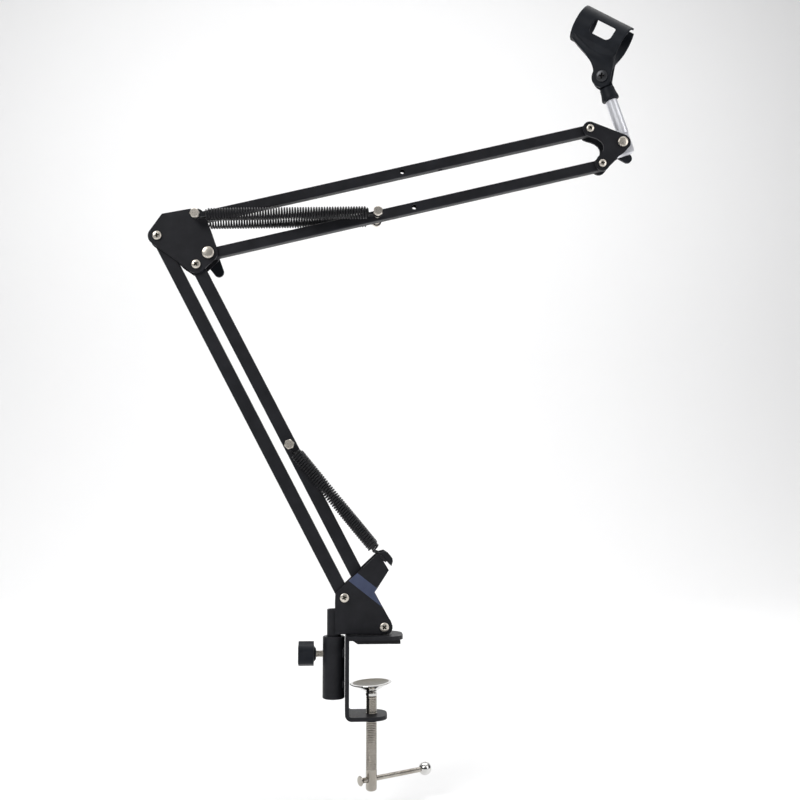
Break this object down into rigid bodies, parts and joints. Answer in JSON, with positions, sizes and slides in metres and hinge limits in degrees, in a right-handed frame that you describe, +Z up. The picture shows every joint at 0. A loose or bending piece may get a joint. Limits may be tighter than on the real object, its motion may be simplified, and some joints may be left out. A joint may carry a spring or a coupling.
{
  "type": "microphone boom arm",
  "caption": "Desk-clamp boom arm: C-clamp, swivel post, two sprung parallelogram arms, tilting head and a slit tube clip that holds a hand-held microphone",
  "frame": {"origin": "where the clamp screw's axis meets the underside of the upper jaw's pad, which rests on the desk", "axes": "+Z up out of the desk, +X away from the swivel post along the jaw, +Y across the jaw to the side with the nuts; the arms lie in Y = 0"},
  "size_m": [0.4609, 0.0658, 0.7356],
  "materials": {
    "black_paint": "satin black powder paint",
    "black_plastic": "matt black moulded plastic",
    "black_rubber": "black pad",
    "black_screw": "blackened screw",
    "spring_black": "black spring wire",
    "nickel": "nickel-plated steel",
    "chrome": "polished chrome",
    "aluminium": "bright turned aluminium"
  },
  "bodies": {
    "clamp": {"clamp_frame": "black_paint", "jaw_pad": "black_rubber", "pivot_sleeve": "black_paint", "weld_bead_upper": "black_paint", "weld_bead_lower": "black_paint"},
    "clamp_foot": {"foot_collar": "chrome"},
    "foot_disc": {"pressure_disc": "chrome"},
    "clamp_screw": {"clamp_screw": "nickel"},
    "tommy": {"tommy_bar": "nickel", "tommy_ball": "chrome"},
    "thumb_slide": {"thumb_shank": "nickel"},
    "thumb_knob": {"thumb_knob": "black_plastic"},
    "base": {"post_tube": "black_paint", "base_plate_front": "black_paint", "base_plate_rear": "black_paint", "base_screw_left": "nickel", "base_screw_right": "nickel", "base_nut_left": "nickel", "base_nut_right": "nickel"},
    "lower_bar_left": {"lower_bar_left": "black_paint"},
    "lower_bar_right": {"lower_bar_right": "black_paint", "lower_spring_bolt": "nickel", "lower_spring_nut": "nickel", "lower_spring_front": "spring_black", "lower_spring_rear": "spring_black"},
    "elbow": {"elbow_plate_front": "black_paint", "elbow_plate_rear": "black_paint", "elbow_screw_left": "nickel", "elbow_screw_right": "nickel", "elbow_nut_left": "nickel", "elbow_nut_right": "nickel", "elbow_hex_bolt": "nickel", "elbow_hex_nut": "nickel", "elbow_clamp_bolt": "nickel"},
    "elbow_washer": {"elbow_washer": "nickel"},
    "elbow_wing_nut": {"elbow_wing_nut": "black_plastic"},
    "upper_bar_lower": {"upper_bar_lower": "black_paint", "upper_spring_bolt": "nickel", "upper_spring_nut": "nickel", "upper_spring_front": "spring_black", "upper_spring_rear": "spring_black"},
    "upper_bar_upper": {"upper_bar_upper": "black_paint"},
    "head": {"head_plate_front": "black_paint", "head_plate_rear": "black_paint", "head_screw_lower": "nickel", "head_screw_upper": "nickel", "head_nut_lower": "nickel", "head_nut_upper": "nickel", "head_clamp_bolt": "nickel"},
    "head_washer": {"head_washer": "nickel"},
    "head_wing_nut": {"head_wing_nut": "black_plastic"},
    "mic_rod": {"mic_rod": "aluminium"},
    "clip_adaptor": {"clip_adaptor": "black_plastic", "clip_screw": "black_screw", "clip_nut": "black_screw"},
    "mic_clip": {"mic_clip": "black_plastic"}
  },
  "joints": [
    {"name": "clamp_foot_travel", "type": "slide", "parent": "clamp", "child": "clamp_foot", "axis": [0, 0, 1], "range_m": [-0.012, 0.033]},
    {"name": "clamp_screw_turn", "type": "hinge", "parent": "clamp_foot", "child": "clamp_screw", "pos_m": [0, 0, -0.09], "axis": [0, 0, 1], "range_deg": [-2880, 7920]},
    {"name": "foot_tilt", "type": "hinge", "parent": "clamp_foot", "child": "foot_disc", "pos_m": [0, 0, -0.043], "axis": [0, 1, 0], "range_deg": [-2.4, 9.6]},
    {"name": "tommy_slide", "type": "slide", "parent": "clamp_screw", "child": "tommy", "axis": [0.8545, 0.5195, 0], "range_m": [-0.047, 0.003]},
    {"name": "thumb_travel", "type": "slide", "parent": "clamp", "child": "thumb_slide", "axis": [1, 0, 0], "range_m": [-0.004, 0]},
    {"name": "thumb_turn", "type": "hinge", "parent": "thumb_slide", "child": "thumb_knob", "pos_m": [-0.0565, 0, -0.0104], "axis": [1, 0, 0], "range_deg": [-1440, 0]},
    {"name": "base_swivel", "type": "hinge", "parent": "clamp", "child": "base", "pos_m": [-0.0343, 0, 0], "axis": [0, 0, 1], "continuous": true},
    {"name": "lower_arm_swing", "type": "hinge", "parent": "base", "child": "lower_bar_left", "pos_m": [-0.0249, 0, 0.04035], "axis": [0, -1, 0], "range_deg": [-45, 8]},
    {"name": "lower_bar_follow", "type": "hinge", "parent": "base", "child": "lower_bar_right", "pos_m": [0.0112, 0, 0.01395], "axis": [0, -1, 0], "range_deg": [-45, 8], "deforming": ["lower_spring_front", "lower_spring_rear"]},
    {"name": "elbow_level", "type": "hinge", "parent": "lower_bar_left", "child": "elbow", "pos_m": [-0.19879, 0, 0.37045], "axis": [0, -1, 0], "range_deg": [-8, 45]},
    {"name": "elbow_washer_travel", "type": "slide", "parent": "elbow", "child": "elbow_washer", "axis": [0, 1, 0], "range_m": [0, 0.002]},
    {"name": "elbow_wing_turn", "type": "hinge", "parent": "elbow_washer", "child": "elbow_wing_nut", "pos_m": [-0.15187, 0.014, 0.35503], "axis": [0, 1, 0], "range_deg": [0, 720]},
    {"name": "upper_arm_swing", "type": "hinge", "parent": "elbow", "child": "upper_bar_lower", "pos_m": [-0.15187, 0, 0.35503], "axis": [0, -1, 0], "range_deg": [-34, 58], "deforming": ["upper_spring_front", "upper_spring_rear"]},
    {"name": "upper_bar_follow", "type": "hinge", "parent": "elbow", "child": "upper_bar_upper", "pos_m": [-0.16323, 0, 0.38898], "axis": [0, -1, 0], "range_deg": [-34, 58]},
    {"name": "head_level", "type": "hinge", "parent": "upper_bar_lower", "child": "head", "pos_m": [0.21859, 0, 0.44698], "axis": [0, -1, 0], "range_deg": [-58, 34]},
    {"name": "head_washer_travel", "type": "slide", "parent": "head", "child": "head_washer", "axis": [0, 1, 0], "range_m": [0, 0.002]},
    {"name": "head_wing_turn", "type": "hinge", "parent": "head_washer", "child": "head_wing_nut", "pos_m": [0.2386, 0.013, 0.4683], "axis": [0, 1, 0], "range_deg": [0, 720]},
    {"name": "mic_rod_tilt", "type": "hinge", "parent": "head", "child": "mic_rod", "pos_m": [0.2386, 0, 0.4683], "axis": [0, -1, 0], "range_deg": [-110, 28]},
    {"name": "clip_swivel", "type": "hinge", "parent": "mic_rod", "child": "clip_adaptor", "pos_m": [0.22279, 0, 0.53429], "axis": [-0.3173, 0, 0.9483], "continuous": true},
    {"name": "clip_tilt", "type": "hinge", "parent": "clip_adaptor", "child": "mic_clip", "pos_m": [0.22279, 0, 0.53429], "axis": [-0.3918, -0.9107, -0.1311], "range_deg": [-45, 45]}
  ],
  "couplings": [
    {"joint": "clamp_foot_travel", "follows": "clamp_screw_turn", "m_per_rad": 0.00023873},
    {"joint": "thumb_travel", "follows": "thumb_turn", "m_per_rad": 0.00015915},
    {"joint": "elbow_washer_travel", "follows": "elbow_wing_turn", "m_per_rad": 0.00015915},
    {"joint": "head_washer_travel", "follows": "head_wing_turn", "m_per_rad": 0.00015915},
    {"joint": "lower_bar_follow", "follows": "lower_arm_swing", "ratio": 1},
    {"joint": "elbow_level", "follows": "lower_arm_swing", "ratio": -1},
    {"joint": "upper_bar_follow", "follows": "upper_arm_swing", "ratio": 1},
    {"joint": "head_level", "follows": "upper_arm_swing", "ratio": -1}
  ]
}
